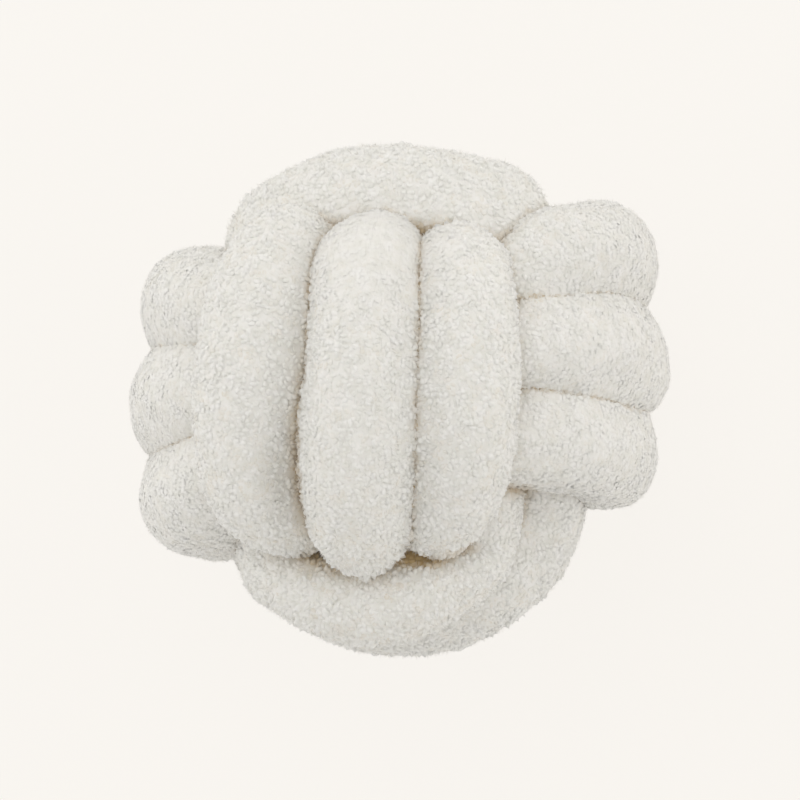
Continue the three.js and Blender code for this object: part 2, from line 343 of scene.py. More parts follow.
# Columns: name, first, last, place, reach, shift. Each row acts on what the rows above it leave.
BULGES = (
    Bulge("face middle", 0.112, 0.162, (0.002, 0, 0.25), (0.04, 0.12, 0.05), (0, 0, 0.004)),
    Bulge("face middle, left flank", 0.112, 0.162, (-0.024, -0.005, 0.245), (0.02, 0.09, 0.035),
          (0.0035, 0, 0)),
    Bulge("face left, flank", 0.222, 0.264, (-0.028, -0.005, 0.24), (0.02, 0.09, 0.035),
          (0.0035, 0, -0.004)),
    Bulge("face middle, high left flank", 0.112, 0.162, (-0.024, 0.036, 0.242),
          (0.02, 0.045, 0.035), (0.003, 0, 0)),
    Bulge("face left, high flank", 0.222, 0.264, (-0.028, 0.036, 0.238), (0.02, 0.045, 0.035),
          (0.003, 0, 0)),
    Bulge("face middle, low left flank", 0.112, 0.162, (-0.024, -0.038, 0.24),
          (0.02, 0.045, 0.035), (-0.0025, 0, 0)),
    Bulge("face left, low flank", 0.222, 0.264, (-0.031, -0.036, 0.235), (0.02, 0.045, 0.035),
          (-0.003, 0, -0.008)),
    Bulge("face right, upper shoulder", 0, 0.025, (0.062, 0.074, 0.205), (0.03, 0.03, 0.035),
          (0.004, 0.001, 0)),
    Bulge("face right, outer flank", 0.008, 0.035, (0.074, 0.04, 0.205), (0.025, 0.03, 0.035),
          (-0.0025, 0, 0)),
    Bulge("face right, flank", 0.008, 0.048, (0.036, -0.01, 0.245), (0.026, 0.09, 0.035),
          (0, 0, -0.005)),
    Bulge("face left, upper end", 0.222, 0.264, (-0.045, 0.088, 0.205), (0.042, 0.042, 0.042),
          (0, 0.01, 0)),
    Bulge("face right, lower end", 0.008, 0.048, (0.04, -0.066, 0.205), (0.04, 0.04, 0.04),
          (0, -0.006, 0)),
    Bulge("upper end, left turn", 0.39, 0.425, (-0.078, 0.099, 0.165), (0.036, 0.036, 0.036),
          (-0.005, 0.005, 0)),
    Bulge("upper end, right turn", 0.42, 0.445, (0.074, 0.112, 0.16), (0.036, 0.036, 0.036),
          (0.007, 0.006, 0)),
    Bulge("upper end, left dimple", 0.402, 0.44, (-0.022, 0.089, 0.181), (0.022, 0.022, 0.028),
          (0, -0.012, 0.012)),
    Bulge("upper end, mid dimple", 0.402, 0.44, (0.024, 0.087, 0.178), (0.022, 0.022, 0.028),
          (0, -0.013, 0.012)),
    Bulge("upper end, right dimple", 0.402, 0.44, (0.062, 0.08, 0.175), (0.02, 0.02, 0.025),
          (0, -0.008, 0.007)),
    Bulge("lower end, left turn", 0.366, 0.392, (-0.078, -0.098, 0.16), (0.036, 0.036, 0.036),
          (-0.006, -0.005, 0)),
    Bulge("lower end, right turn", 0.35, 0.366, (0.066, -0.05, 0.185), (0.03, 0.03, 0.03),
          (0, 0, 0.004)),
    Bulge("lower end, right edge", 0.35, 0.366, (0.074, -0.058, 0.178), (0.018, 0.03, 0.03),
          (-0.005, 0, 0)),
    Bulge("lower end, second turn", 0.455, 0.47, (0.073, -0.066, 0.156), (0.025, 0.03, 0.025),
          (0, 0, -0.008)),
    Bulge("lower end, under the face", 0.356, 0.39, (0.036, -0.074, 0.197), (0.048, 0.018, 0.022),
          (0, -0.002, -0.006)),
    Bulge("left side, lowest", 0.672, 0.712, (-0.094, -0.083, 0.11), (0.036, 0.036, 0.036),
          (0.002, -0.006, 0)),
    Bulge("left side, low notch", 0.672, 0.82, (-0.136, -0.024, 0.132), (0.024, 0.024, 0.024),
          (-0.009, 0, 0)),
    Bulge("left side, middle", 0.78, 0.83, (-0.137, 0.006, 0.13), (0.03, 0.03, 0.05),
          (-0.003, 0, 0)),
    Bulge("right side, low notch", 0.73, 0.88, (0.138, 0, 0.135), (0.024, 0.024, 0.024),
          (0.009, 0, 0)),
    Bulge("right side, low dimple", 0.72, 0.752, (0.08, 0.002, 0.182), (0.026, 0.022, 0.024),
          (0, 0.011, 0.008)),
    Bulge("right side, mid dimple", 0.828, 0.852, (0.08, 0.008, 0.182), (0.026, 0.022, 0.024),
          (0, 0.005, 0.006)),
    Bulge("right side, high dimple", 0.835, 0.97, (0.079, 0.047, 0.186), (0.026, 0.024, 0.024),
          (0, 0.004, 0.008)),
    Bulge("right side, low left end", 0.72, 0.852, (0.075, 0.004, 0.19), (0.016, 0.022, 0.03),
          (0, 0.006, 0.001)),
    Bulge("right side, high left end", 0.835, 0.97, (0.075, 0.05, 0.19), (0.014, 0.024, 0.03),
          (0, 0.008, 0.002)),
    Bulge("right side, low left edge", 0.72, 0.752, (0.078, -0.036, 0.197), (0.022, 0.016, 0.03),
          (0, 0.003, 0)),
    Bulge("left side, top edge", 0.895, 0.925, (-0.1, 0.08, 0.125), (0.04, 0.03, 0.04),
          (0, -0.003, 0)),
    Bulge("right side, lowest", 0.72, 0.79, (0.096, -0.056, 0.09), (0.03, 0.03, 0.045),
          (0, 0.007, 0)),
    Bulge("right side, low corner", 0.72, 0.79, (0.122, -0.05, 0.12), (0.03, 0.03, 0.04),
          (0, -0.003, 0)),
    Bulge("face middle, upper end", 0.105, 0.135, (0, 0.092, 0.215), (0.035, 0.035, 0.04),
          (0, 0.003, 0)),
    Bulge("face middle, upper left", 0.112, 0.14, (-0.014, 0.078, 0.225), (0.02, 0.026, 0.035),
          (-0.003, 0.001, 0)),
    Bulge("face middle, upper right", 0.112, 0.14, (0.022, 0.076, 0.21), (0.02, 0.026, 0.035),
          (0.002, 0.001, 0)),
    Bulge("face right, upper end", 0, 0.02, (0.044, 0.085, 0.21), (0.035, 0.035, 0.04),
          (0, 0.004, 0)),
    Bulge("lower end, under the gap", 0.362, 0.384, (0.014, -0.078, 0.182), (0.016, 0.018, 0.024),
          (0, 0.009, 0.008)),
    Bulge("left side, high lobe", 0.9, 0.935, (-0.122, 0.034, 0.14), (0.03, 0.03, 0.05),
          (-0.003, -0.001, 0)),
    Bulge("left side, middle lobe", 0.79, 0.83, (-0.128, -0.018, 0.14), (0.03, 0.028, 0.05),
          (-0.003, -0.002, 0)),
    Bulge("right side, high lobe", 0.95, 0.98, (0.128, 0.05, 0.12), (0.03, 0.03, 0.05),
          (0.003, -0.001, 0)),
    Bulge("right side, middle lobe", 0.85, 0.88, (0.136, 0.002, 0.12), (0.03, 0.03, 0.05),
          (0.0015, 0, 0)),
    Bulge("lower end, second turn's edge", 0.455, 0.5, (0.098, -0.07, 0.118),
          (0.03, 0.032, 0.04), (0.006, -0.003, 0)),
    Bulge("lower end, second turn's left", 0.475, 0.505, (-0.075, -0.087, 0.144),
          (0.03, 0.03, 0.04), (-0.003, -0.003, 0)),
    Bulge("upper end, top", 0.51, 0.55, (0, 0.124, 0.126), (0.06, 0.03, 0.05), (0, 0.003, 0)),
    Bulge("right side, top corner", 0.95, 0.975, (0.092, 0.098, 0.16), (0.026, 0.026, 0.03),
          (0, -0.004, 0)),
)


@dataclass
class Stretches:
    """The stretches of a tube, told apart by how far along it they lie."""

    mesh: bpy.types.Mesh
    own: int = 9  # a stretch doesn't press on what lies fewer steps than this along the tube
    chunk: int = 12  # steps along the tube in each stretch that is searched at once

    def __post_init__(self) -> None:
        """Counts the steps from one tip of the tube to every vertex."""
        edges = edges_of(self.mesh)
        links = np.bincount(edges.ravel(), minlength=len(self.mesh.vertices))
        self.steps = np.full(len(links), -1)
        ways = np.concatenate([edges, edges[:, ::-1]])
        fresh = np.array([np.argmax(links)])  # a tip, where the most edges meet
        while len(fresh):
            self.steps[fresh] = self.steps.max() + 1
            ends = self.steps[ways]
            fresh = ways[(ends[:, 0] == self.steps.max()) & (ends[:, 1] < 0), 1]
        self.faces = [list(face.vertices) for face in self.mesh.polygons]
        self.face_steps = np.array([self.steps[face].mean() for face in self.faces])

    def share_of(self, first: float, last: float, ease: float = 0.012) -> np.ndarray:
        """Says how far each vertex belongs to one part of the tube.

        Args:
            first: Where the part begins, as a share of the tube's length.
            last: Where it ends.
            ease: The share of the length over which it fades out at each end.

        Returns:
            From 0 outside the part to 1 within it.
        """
        along = self.steps / self.steps.max()
        off = np.maximum(first - along, along - last)
        share = np.clip(1 - off / ease, 0, 1)
        return share * share * (3 - 2 * share)

    def nearest(self, places: np.ndarray, reach: float) -> tuple[np.ndarray, np.ndarray]:
        """Finds the nearest point of another stretch.

        Args:
            places: Where the mesh's vertices are.
            reach: How far away to look.

        Returns:
            For each vertex, the way to that point and how far it is, or reach if none is nearer.
        """
        ways = np.zeros_like(places)
        gaps = np.full(len(places), reach)
        for first in range(0, int(self.face_steps.max()) + 1, self.chunk):
            last = first + self.chunk
            inside = np.flatnonzero((self.face_steps >= first) & (self.face_steps < last))
            if not len(inside):
                continue
            used, numbers = np.unique(
                np.concatenate([self.faces[n] for n in inside]), return_inverse=True
            )
            sizes = [len(self.faces[n]) for n in inside]
            polygons = np.split(numbers, np.cumsum(sizes)[:-1])
            tree = BVHTree.FromPolygons(places[used].tolist(), [p.tolist() for p in polygons])
            low, high = places[used].min(0) - reach, places[used].max(0) + reach
            near = ((places > low) & (places < high)).all(1)
            near &= (self.steps < first - self.own) | (self.steps > last + self.own)
            for n in np.flatnonzero(near):
                found = tree.find_nearest(Vector(places[n]), gaps[n])
                if found[0] is not None and found[3] < gaps[n]:
                    gaps[n] = found[3]
                    ways[n] = found[0] - Vector(places[n])
        return unit(ways), gaps


@dataclass
class KnottedTube:
    """The cloth tube with its filling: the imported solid, rounded out and filled with air."""

    finish: FleeceFinish
    pile_depth: float = 0.8 * MM  # how far the cloth lies inside the solid, under its pile
    pile_room: float = 8.0 * MM  # less where another stretch lies nearer than this
    pressure: float = 4.0
    frames: int = 20
    swell_limit: float = 1.0 * MM  # how far the filling may push the cloth out
    press_reach: float = 24.0 * MM  # stretches nearer than this swell towards each other
    press_full: float = 0.33  # and nearer than this share of it until they press together
    press_gap: float = 0.6 * MM  # with this left between them
    press_bite: float = 4.2 * MM  # and in the last round their pile meshes by this
    press_rounds: int = 3
    press_side: float = 0.1  # cloth that faces this little away from a neighbour still swells
    press_facing: float = 0.5  # and this much further towards it, swells fully
    fillings: tuple[Filling, ...] = FILLINGS
    bulges: tuple[Bulge, ...] = BULGES
    lump_size: float = 10.0 * MM  # the filling is a little lumpy
    lump_height: float = 0.8 * MM
    evening: int = 2  # rounds
    merge: float = 0.01 * MM
    square_angle: float = 60.0  # degrees within which two triangles are paired into a square
    name: str = "cloth_tube"
    piece: bpy.types.Object = field(init=False)

    def build(self) -> bpy.types.Object:
        """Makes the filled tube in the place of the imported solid.

        Returns:
            The finished piece.
        """
        self.piece = self._copied()
        self._subdivided()
        self._filled()
        stretches = Stretches(self.piece.data)
        self._bulged(stretches)
        gaps = self._pressed(stretches)
        self._sunk(gaps)
        self._subdivided()
        self._lumpy()
        self.piece.data.materials.clear()
        self.piece.data.materials.append(self.finish.material())
        select_only(self.piece)
        bpy.ops.object.shade_smooth()
        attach(self.piece, "root")
        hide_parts(TUBE_NODE)
        return self.piece

    def _copied(self) -> bpy.types.Object:
        """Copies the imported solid, joins its loose triangles and pairs them into squares.

        Returns:
            The copy.
        """
        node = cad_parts[TUBE_NODE]
        piece = bpy.data.objects.new(self.name, node.data.copy())
        bpy.context.scene.collection.objects.link(piece)
        select_only(piece)
        bpy.ops.object.mode_set(mode="EDIT")
        bpy.ops.mesh.select_all(action="SELECT")
        bpy.ops.mesh.remove_doubles(threshold=self.merge)
        angle = math.radians(self.square_angle)
        bpy.ops.mesh.tris_convert_to_quads(face_threshold=angle, shape_threshold=angle)
        bpy.ops.mesh.normals_make_consistent(inside=False)
        bpy.ops.object.mode_set(mode="OBJECT")
        return piece

    def _subdivided(self) -> None:
        """Rounds out the faces by one subdivision."""
        select_only(self.piece)
        rounder = self.piece.modifiers.new("rounder", "SUBSURF")
        rounder.levels = rounder.render_levels = 1
        bpy.ops.object.modifier_apply(modifier=rounder.name)

    def _filled(self) -> None:
        """Fills the tube with air, and lets it swell by no more than a filled cushion does."""
        mesh = self.piece.data
        before, normals = places_of(mesh), normals_of(mesh)
        select_only(self.piece)
        cloth = self.piece.modifiers.new("filling", "CLOTH")
        cloth.settings.use_pressure = True
        cloth.settings.uniform_pressure_force = self.pressure
        cloth.settings.effector_weights.gravity = 0
        cloth.point_cache.frame_end = self.frames
        for step in range(1, self.frames + 1):
            bpy.context.scene.frame_set(step)
        bpy.ops.object.modifier_apply(modifier=cloth.name)
        bpy.context.scene.frame_set(1)
        swell = places_of(mesh) - before
        out = (swell * normals).sum(1) / MM
        log.info("filling: out %.2f mm mean, %.2f to %.2f", out.mean(), out.min(), out.max())
        swell = evened(swell, edges_of(mesh), self.evening)
        length = np.linalg.norm(swell, axis=1, keepdims=True)
        swell *= np.minimum(1, self.swell_limit / np.maximum(length, 1e-9))
        move_to(mesh, before + swell)

    def _bulged(self, stretches: Stretches) -> None:
        """Moves the cloth where a stretch stands out or lies back from its even round form.

        Args:
            stretches: Of the tube.
        """
        mesh = self.piece.data
        for row in self.bulges:
            places = places_of(mesh)
            off = np.linalg.norm((places - np.array(row.place)) / row.reach, axis=1)
            share = np.clip(1 - off**2, 0, 1) ** 2 * stretches.share_of(row.first, row.last)
            move_to(mesh, places + np.array(row.shift) * share[:, None])

    def _pressed(self, stretches: Stretches) -> np.ndarray:
        """Swells neighbouring stretches towards each other until they press together.

        Args:
            stretches: Of the tube.

        Returns:
            How far each vertex lies from another stretch afterwards.
        """
        mesh = self.piece.data
        edges = edges_of(mesh)
        swell = np.ones(len(mesh.vertices))
        reach = np.full(len(mesh.vertices), self.press_reach)
        bite = np.full(len(mesh.vertices), self.press_bite)
        for row in self.fillings:
            share = stretches.share_of(row.first, row.last)
            swell += (row.swell - 1) * share
            reach += (row.reach - self.press_reach) * share
            bite += (row.bite - self.press_bite) * share
        for number in range(self.press_rounds + 1):
            left = self.press_gap if number < self.press_rounds else -bite
            places = places_of(mesh)
            ways, gaps = stretches.nearest(places, reach.max())
            share = np.clip((1 - gaps / reach) / (1 - self.press_full), 0, 1)
            share *= share * (3 - 2 * share)
            facing = (ways * normals_of(mesh)).sum(1)
            share *= np.clip((facing + self.press_side) / self.press_facing, 0, 1)
            push = ways * ((gaps - left) / 2 * share * swell)[:, None]
            move_to(mesh, places + evened(push, edges, 1))
        gaps = stretches.nearest(places_of(mesh), self.press_reach)[1]
        log.info("pressed: gaps 5%% %.2f mm, half %.2f mm", *np.percentile(gaps / MM, (5, 50)))
        return gaps

    def _sunk(self, gaps: np.ndarray) -> None:
        """Moves the cloth in wherever it is free, to leave room for its pile.

        Args:
            gaps: How far each vertex lies from another stretch.
        """
        mesh = self.piece.data
        normals = unit(evened(normals_of(mesh), edges_of(mesh), self.evening))
        share = evened(np.clip(gaps / self.pile_room, 0, 1), edges_of(mesh), 1)
        move_to(mesh, places_of(mesh) - normals * (self.pile_depth * share)[:, None])

    def _lumpy(self) -> None:
        """Makes the cloth a little uneven over the lumps of its filling."""
        mesh = self.piece.data
        places = places_of(mesh)
        lumps = np.array([noise.noise(Vector(p / self.lump_size)) for p in places])
        places += normals_of(mesh) * (lumps * self.lump_height)[:, None]
        places[:, 2] = np.maximum(places[:, 2], LOW[2])
        move_to(mesh, places)


# ---- The pile ----


@dataclass
class Openness:
    """How open to the air each point of the cloth is, by rays cast from it."""

    cloth: bpy.types.Object
    rays: int = 14
    reach: float = 300.0 * MM
    lift: float = 0.6 * MM
    spread: float = 0.93  # of the dome's height, so that no ray lies flat along the cloth
    skew: tuple[float, float, float] = (0.31, 0.52, 0.79)  # along none of the tube's own ways

    def __post_init__(self) -> None:
        """Makes the tree of the cloth's faces that the rays are cast against."""
        graph = bpy.context.evaluated_depsgraph_get()
        self.tree = BVHTree.FromObject(self.cloth, graph)
        turn = math.pi * (3 - math.sqrt(5))  # spreads the rays evenly
        height = 1 - (np.arange(self.rays) + 0.5) / self.rays * self.spread
        ring = np.sqrt(1 - height**2)
        angle = np.arange(self.rays) * turn
        self.dome = np.stack([ring * np.cos(angle), ring * np.sin(angle), height], 1)

    def at(self, places: np.ndarray, normals: np.ndarray) -> np.ndarray:
        """Measures points of the cloth.

        Args:
            places: The points.
            normals: The way that the cloth faces at each one.

        Returns:
            The share of the rays from each point that get away, from 0 to 1.
        """
        side = unit(np.cross(normals, np.array(self.skew)))
        up = np.cross(normals, side)
        weights = self.dome[:, 2] / self.dome[:, 2].sum()
        shares = np.zeros(len(places))
        starts = places + normals * self.lift
        for i in range(len(places)):
            ways = self.dome @ np.stack([side[i], up[i], normals[i]])
            start = Vector(starts[i])
            for way, weight in zip(ways, weights):
                if self.tree.ray_cast(start, Vector(way), self.reach)[0] is None:
                    shares[i] += weight
        return shares


@dataclass(frozen=True)
class Patch:
    """A place where the pile lies flatter than elsewhere, or gets more painted crease shade."""

    name: str
    place: tuple[float, float, float]
    reach: tuple[float, float, float]  # how far round the place it fades out
    flat: float  # the share of its height that the pile loses, or below 0 gains
    painted_shade: float  # how much more painted crease shade it gets, or below 0 less

    def share_at(self, places: np.ndarray) -> np.ndarray:
        """Says how far points belong to the patch.

        Args:
            places: The points.

        Returns:
            From 0 outside the patch to 1 at its middle.
        """
        off = np.linalg.norm((places - np.array(self.place)) / self.reach, axis=1)
        return np.clip(1 - off**2, 0, 1)


# Columns: name, place, reach, flat, and the painted crease shade added.
PATCHES = (
    Patch("left side", (-0.14, 0, 0.13), (0.09, 0.15, 0.15), 0.5, -0.2),
    Patch("left side, front", (-0.12, 0, 0.2), (0.05, 0.14, 0.06), 0.15, 0),
    Patch("right side", (0.14, 0, 0.13), (0.085, 0.14, 0.14), 0.5, -0.2),
    Patch("face, upper end", (0.01, 0.085, 0.24), (0.055, 0.055, 0.05), 0.7, 0),
    Patch("lower end", (0, -0.095, 0.215), (0.1, 0.045, 0.06), -0.5, 0),
    Patch("face, left crease", (-0.028, -0.01, 0.22), (0.008, 0.07, 0.03), 0, 0.3),
    Patch("lower end, under the left", (-0.03, -0.082, 0.19), (0.022, 0.006, 0.03), 0, 0.1),
    Patch("lower end, under the tip", (0, -0.089, 0.19), (0.024, 0.005, 0.03), 0, 0.1),
    Patch("lower end, under the middle", (0.024, -0.077, 0.19), (0.02, 0.006, 0.02), 0.85, 0.8),
    Patch("lower end, under the right", (0.043, -0.071, 0.195), (0.012, 0.005, 0.02), 0.4, 0.5),
    Patch("lower end, beside the right", (0.07, -0.04, 0.178), (0.014, 0.007, 0.02), 0.4, 0.5),
)


@dataclass
class Spots:
    """Points of the cloth where the pile stands."""

    place: np.ndarray
    normal: np.ndarray
    painted_shade: np.ndarray  # how much painted crease shade the cloth gets there

    def only(self, chosen: np.ndarray) -> "Spots":
        """Picks some of the points.

        Args:
            chosen: Their numbers, or which of them to keep.

        Returns:
            Those points alone.
        """
        return Spots(self.place[chosen], self.normal[chosen], self.painted_shade[chosen])


@dataclass
class LoopedPile:
    """The pile: small bent loops and loose fibres that stand on the cloth wherever it shows."""

    cloth: bpy.types.Object
    finish: FleeceFinish
    patches: tuple[Patch, ...] = PATCHES
    least_open: float = 0.03  # the pile stands where the cloth is more open than this
    shade_from: float = 0.6  # painted crease shade starts below this openness
    shade_power: float = 1.5
    shade_most: float = 0.8  # the most painted shade that openness alone gives, before the patches add theirs
    evening: int = 2  # rounds
    crushed: float = 0.1 * MM  # the pile is pressed as flat as this where the cushion lies

    loops: int = 38000
    tries: int = 4  # spots for each loop, of which those that stand apart are kept
    spacing: float = 1.9 * MM
    length: tuple[float, float] = (3.0 * MM, 4.8 * MM)
    width: tuple[float, float] = (2.4 * MM, 3.4 * MM)
    height: tuple[float, float] = (1.6 * MM, 2.6 * MM)
    sunk: float = 0.3  # the share of a loop's height that lies in the cloth
    lowest: float = 0.4  # a loop low in its clump keeps this share of its own height
    lean: float = 0.3
    curl: float = 0.8
    curl_middle: float = 0.08  # about the mean of x squared, so a curl shifts no loop
    ragged: float = 0.12
    evenness: float = 0.5  # how far the loops are shaded as the cloth beneath them is
    least_even: float = 0.25  # less where they stand high, but at least this
    foot_shade: float = 0.3  # in a crease the loops' feet get this much more painted shade
    clump_size: float = 8.0 * MM  # the loops stand higher and lower in clumps of about this size
    clump_height: float = 1.4 * MM
    clump_finer: float = 2.1  # a finer layer of clumps, this many times smaller
    clump_fine: float = 0.6  # and this much weaker
    clump_shade: float = 0.2  # and those that stand lower get this much more painted shade

    fibres: int = 215000
    fibre_thinning: float = 0.45  # the share of them left out, more where the pile stands higher
    fibre_length: tuple[float, float] = (2.5 * MM, 5.5 * MM)
    fibre_width: float = 0.32 * MM
    fibre_rise: tuple[float, float] = (0.05, 0.7)  # how steeply they stand up
    fibre_start: float = 0.8 * MM  # above the cloth, among the loops
    fibre_evenness: float = 0.9
    seed: int = 11

    def build(self) -> list[bpy.types.Object]:
        """Measures how open the cloth is, paints shade into its creases from that, then stands
        the loops and the loose fibres on it.

        Returns:
            The pieces of the pile.
        """
        mesh = self.cloth.data
        mesh.calc_loop_triangles()
        shares = Openness(self.cloth).at(places_of(mesh), normals_of(mesh))
        openness = evened(shares, edges_of(mesh), self.evening)
        # The crease attribute holds painted shade, stronger where the cloth is less open.
        layer = mesh.attributes.new(SHADE_LAYER, "FLOAT", "POINT")
        layer.data.foreach_set("value", self._painted_shade_of(openness, places_of(mesh)))
        rng = np.random.default_rng(self.seed)
        return self._looped(mesh, openness, rng) + self._fuzzy(mesh, openness, rng)

    def _looped(
        self, mesh: bpy.types.Mesh, openness: np.ndarray, rng: np.random.Generator
    ) -> list[bpy.types.Object]:
        """Stands the loops on the cloth, spread evenly, in one piece for each side of the ball.

        Args:
            mesh: The cloth.
            openness: Of each of its vertices.
            rng: The source of chance.

        Returns:
            The pieces.
        """
        spots = self._scattered(mesh, openness, self.loops * self.tries, rng)
        spots = spots.only(self._apart(spots.place)[: self.loops])
        master, faces = self._master_loop()
        clump = self._clump(spots.place)
        stood = self._stood(spots, master, clump, rng)
        height = self._height_at(spots.place)
        # Painted shade: loops that stand low in their clump get more, and in a crease their feet
        # get more still.
        deep = np.clip(spots.painted_shade + np.clip(-clump, 0, 1) * height * self.clump_shade, 0, 1)
        painted_shade = deep[:, None] * (1 + (1 - master[None, :, 2]) * self.foot_shade)
        evenness = np.clip(1 - (1 - self.evenness) * height**2, self.least_even, 1)
        facing = self._facing(spots.place)
        pieces = []
        for number, side in enumerate(Side):
            chosen = facing == number
            name = f"pile_{side.name.lower()}"
            normals = spots.normal[chosen]
            pieces.append(
                self._joined(name, stood[chosen], faces, painted_shade[chosen], normals, evenness[chosen])
            )
            log.info("%s: %d loops", name, chosen.sum())
        return pieces

    def _fuzzy(
        self, mesh: bpy.types.Mesh, openness: np.ndarray, rng: np.random.Generator
    ) -> list[bpy.types.Object]:
        """Lays the loose fibres over the loops, in one piece on the face and one all round it.

        Args:
            mesh: The cloth.
            openness: Of each of its vertices.
            rng: The source of chance.

        Returns:
            The pieces.
        """
        spots = self._scattered(mesh, openness, self.fibres, rng)
        thinned = self.fibre_thinning * self._height_at(spots.place)
        spots = spots.only(rng.random(self.fibres) > thinned)
        blades = self._blades(spots, rng)
        on_face = self._facing(spots.place) == list(Side).index(Side.FACE)
        faces = np.array([[0, 1, 2]])
        pieces = []
        for name, chosen in (("fuzz_face", on_face), ("fuzz_round", ~on_face)):
            # Each fibre takes the painted crease shade of its spot.
            painted_shade = np.repeat(spots.painted_shade[chosen, None], 3, axis=1)
            evenness = np.full(chosen.sum(), self.fibre_evenness)
            pieces.append(
                self._joined(name, blades[chosen], faces, painted_shade, spots.normal[chosen], evenness)
            )
            log.info("%s: %d fibres", name, chosen.sum())
        return pieces

    def _painted_shade_of(self, openness: np.ndarray, places: np.ndarray) -> np.ndarray:
        """Says how much painted shade the cloth gets in its creases.

        Args:
            openness: At each point of the cloth.
            places: Where the points are.

        Returns:
            From 0 to 1 for each point.
        """
        deep = np.clip(1 - openness / self.shade_from, 0, 1) ** self.shade_power
        added = sum(p.painted_shade * p.share_at(places) for p in self.patches)
        return np.clip(np.minimum(deep, self.shade_most) + added, 0, 1)

    def _height_at(self, places: np.ndarray) -> np.ndarray:
        """Says how high the pile stands at points of the cloth, as a share of its full height."""
        return 1 - sum(p.flat * p.share_at(places) for p in self.patches)

    def _clump(self, places: np.ndarray) -> np.ndarray:
        """Says how far the loops stand up in clumps.

        Args:
            places: Points of the cloth.

        Returns:
            From about -1 at a low spot to 1 at a high one, for each point.
        """
        coarse = [noise.noise(Vector(p / self.clump_size)) for p in places]
        fine = [noise.noise(Vector(p / self.clump_size * self.clump_finer)) for p in places]
        return np.array(coarse) + self.clump_fine * np.array(fine)

    @staticmethod
    def _facing(places: np.ndarray) -> np.ndarray:
        """Says which side of the ball points lie on, by its number among the sides."""
        ways = np.array([side.value for side in Side])
        return np.argmax((places - MIDDLE) / (HIGH - LOW) @ ways.T, axis=1)

    def _scattered(
        self,
        mesh: bpy.types.Mesh,
        openness: np.ndarray,
        count: int,
        rng: np.random.Generator,
    ) -> Spots:
        """Scatters points over the cloth that shows, evenly by its area.

        Args:
            mesh: The cloth.
            openness: Of each of its vertices.
            count: How many points to scatter.
            rng: The source of chance.

        Returns:
            The points.
        """
        corners = np.empty(len(mesh.loop_triangles) * 3, int)
        mesh.loop_triangles.foreach_get("vertices", corners)
        corners = corners.reshape(-1, 3)
        corners = corners[openness[corners].mean(1) > self.least_open]
        places, normals = places_of(mesh), normals_of(mesh)
        a, b, c = (places[corners[:, k]] for k in range(3))
        area = np.linalg.norm(np.cross(b - a, c - a), axis=1) / 2
        chosen = corners[rng.choice(len(corners), count, p=area / area.sum())]
        shares = rng.dirichlet((1, 1, 1), count)[:, :, None]
        place = (places[chosen] * shares).sum(1)
        # painted crease shade at each point, from its openness
        painted_shade = self._painted_shade_of((openness[chosen] * shares[:, :, 0]).sum(1), place)
        log.info("%.3f square metres show, %d points", area.sum(), count)
        return Spots(place, unit((normals[chosen] * shares).sum(1)), painted_shade)

    def _apart(self, tried: np.ndarray) -> np.ndarray:
        """Keeps the points that stand far enough from every point kept before them.

        Args:
            tried: The points to try, in order.

        Returns:
            The numbers of those kept.
        """
        cells: dict[tuple[int, int, int], list[int]] = {}
        keys = np.floor(tried / self.spacing).astype(int)
        around = [(i, j, k) for i in (-1, 0, 1) for j in (-1, 0, 1) for k in (-1, 0, 1)]
        points = tried.tolist()
        limit = self.spacing**2
        kept = []
        for n, (x, y, z) in enumerate(keys.tolist()):
            px, py, pz = points[n]
            near = (points[m] for i, j, k in around for m in cells.get((x + i, y + j, z + k), ()))
            if all((px - a) ** 2 + (py - b) ** 2 + (pz - c) ** 2 >= limit for a, b, c in near):
                cells.setdefault((x, y, z), []).append(n)
                kept.append(n)
        return np.array(kept)

    @staticmethod
    def _master_loop() -> tuple[np.ndarray, np.ndarray]:
        """Models one loop: a dome, one unit across and high, open where it stands in the cloth.

        Returns:
            Its vertices, and its faces as triangles.
        """
        bpy.ops.object.select_all(action="DESELECT")
        bpy.ops.mesh.primitive_uv_sphere_add(segments=6, ring_count=4, radius=0.5)
        loop = bpy.context.object
        bpy.ops.object.mode_set(mode="EDIT")
        bpy.ops.mesh.select_all(action="SELECT")
        bpy.ops.mesh.bisect(plane_co=(0, 0, 0), plane_no=(0, 0, 1), clear_inner=True)
        bpy.ops.mesh.select_all(action="SELECT")
        bpy.ops.mesh.quads_convert_to_tris()
        bpy.ops.mesh.normals_make_consistent(inside=False)
        bpy.ops.object.mode_set(mode="OBJECT")
        faces = [list(face.vertices) for face in loop.data.polygons]
        # In one fixed order, which the steps above don't keep from run to run.
        faces = np.array(sorted(min(f, f[1:] + f[:1], f[2:] + f[:2]) for f in faces))
        places = places_of(loop.data)
        places[:, 2] = np.maximum(places[:, 2], 0) * 2
        belly = 0.25 * places[:, 2:] * (1 - places[:, 2:])  # a little wider halfway up
        places[:, :2] *= 1 + belly
        bpy.data.objects.remove(loop)
        log.info("loop: %d triangles, %d vertices", len(faces), len(places))
        return places, faces

